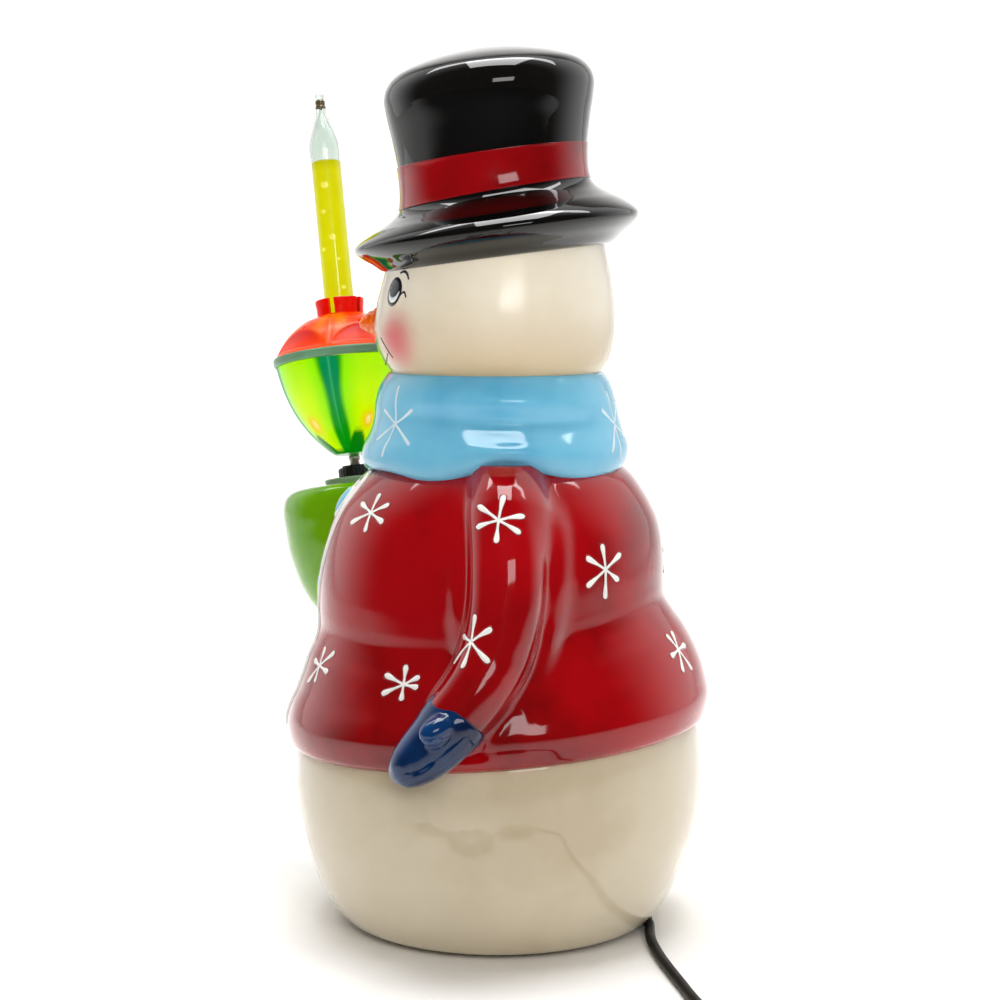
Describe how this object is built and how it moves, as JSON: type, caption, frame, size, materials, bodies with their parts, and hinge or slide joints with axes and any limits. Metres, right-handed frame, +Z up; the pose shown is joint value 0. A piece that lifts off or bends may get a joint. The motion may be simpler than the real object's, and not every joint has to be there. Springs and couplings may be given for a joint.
{
  "type": "ceramic snowman table lamp",
  "caption": "Glazed ceramic snowman figure lamp holding an oversized bubble light in a socket cup, with a switched mains lead.",
  "frame": {"origin": "middle of the felt pad's underside, on the table under the body's axis", "axes": "+Z up, the snowman faces -Y, its left arm is on +X, the mains lead leaves at the back, +Y"},
  "size_m": [0.3352, 0.2431, 0.3608],
  "materials": {
    "cream_glaze": "gloss",
    "red_glaze": "gloss",
    "blue_glaze": "gloss",
    "navy_glaze": "gloss",
    "black_glaze": "gloss",
    "orange_glaze": "gloss",
    "green_glaze": "gloss",
    "felt": "matte felt",
    "board": "raw",
    "rubber": "matte",
    "disc_plastic": "satin",
    "black_plastic": "satin",
    "rocker_plastic": "gloss",
    "cord_jacket": "satin",
    "stem_steel": "satin",
    "brass": "satin",
    "cup_plastic": "translucent",
    "rim_plastic": "satin",
    "dome_plastic": "translucent",
    "lamp_glass": "frosted, lit",
    "vial_glass": "clear",
    "liquid": "coloured liquid, lit"
  },
  "bodies": {
    "root": {"lower_body": "cream_glaze", "jacket": "red_glaze", "front_trim": "cream_glaze", "front_button_1": "blue_glaze", "front_button_2": "blue_glaze", "front_button_3": "blue_glaze", "scarf": "blue_glaze", "head": "cream_glaze", "nose": "orange_glaze", "hat": "black_glaze", "hat_band": "red_glaze", "left_sleeve": "red_glaze", "left_mitten": "navy_glaze", "right_sleeve": "red_glaze", "right_mitten": "navy_glaze", "base_cover": "board", "base_felt": "felt", "cord_grommet": "rubber", "cord_clamp": "black_plastic", "inner_lead": "cord_jacket", "light_holder": "green_glaze", "socket_body": "black_plastic", "socket_contact": "brass", "socket_disc": "disc_plastic", "cord_lead_a": "cord_jacket", "switch_bottom": "black_plastic", "switch_top": "black_plastic", "cord_lead_b": "cord_jacket", "cord_coil": "cord_jacket", "coil_tie": "rubber", "cord_lead_c": "cord_jacket", "plug_body": "black_plastic", "plug_blades": "brass"},
    "collar_nut": {"collar_nut": "black_plastic"},
    "bubble_light": {"light_stem": "stem_steel", "bulb_holder": "black_plastic", "lamp_bulb": "lamp_glass", "light_cup": "cup_plastic", "cup_rim": "rim_plastic", "light_dome": "dome_plastic", "vial": "vial_glass", "vial_liquid": "liquid", "vial_tip": "vial_glass"},
    "switch_rocker": {"switch_rocker": "rocker_plastic"}
  },
  "joints": [
    {"name": "light_lift", "type": "slide", "parent": "root", "child": "bubble_light", "axis": [-0.156, -0.114, 0.9812], "range_m": [0, 0.04]},
    {"name": "collar_turn", "type": "hinge", "parent": "root", "child": "collar_nut", "pos_m": [-0.0722, -0.0706, 0.1773], "axis": [-0.156, -0.114, 0.9812], "continuous": true},
    {"name": "rocker_tilt", "type": "hinge", "parent": "root", "child": "switch_rocker", "pos_m": [0.211, 0.048, 0.0128], "axis": [1, 0, 0], "range_deg": [0, 16]}
  ]
}
